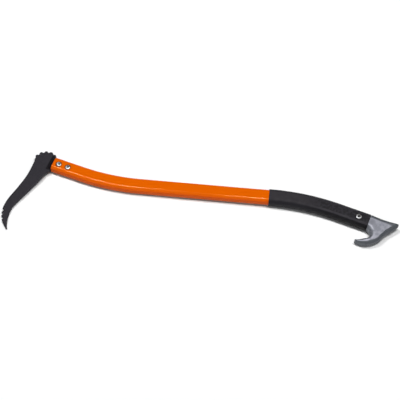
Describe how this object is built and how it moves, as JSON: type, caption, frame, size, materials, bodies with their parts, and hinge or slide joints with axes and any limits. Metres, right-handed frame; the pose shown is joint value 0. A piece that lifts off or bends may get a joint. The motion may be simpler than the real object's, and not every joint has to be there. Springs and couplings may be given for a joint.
{
  "type": "sappie",
  "caption": "Hand sappie: forged hook head with toothed crown, pinned in a bent oval aluminium handle with a sleeve grip and a cast end guard.",
  "frame": {"origin": "under the middle of the tool, on the plane that its lowest point rests on while it lies on its flat side", "axes": "+X along the middle of the handle towards the grip end, -Y towards the side that the beak points to, +Z out of the upper flat side"},
  "size_m": [0.8604, 0.2032, 0.0296],
  "materials": {
    "head": "matt dark coat on forged steel",
    "tube": "glossy orange powder coat",
    "sleeve": "matt, finely pebbled",
    "guard": "sand cast, tumbled",
    "pins": "bright zinc"
  },
  "bodies": {
    "root": {"sappie_head": "head", "handle_tube": "tube", "grip_sleeve": "sleeve", "end_guard": "guard", "head_pin_front": "pins", "head_pin_rear": "pins", "guard_pin": "pins"}
  },
  "joints": []
}
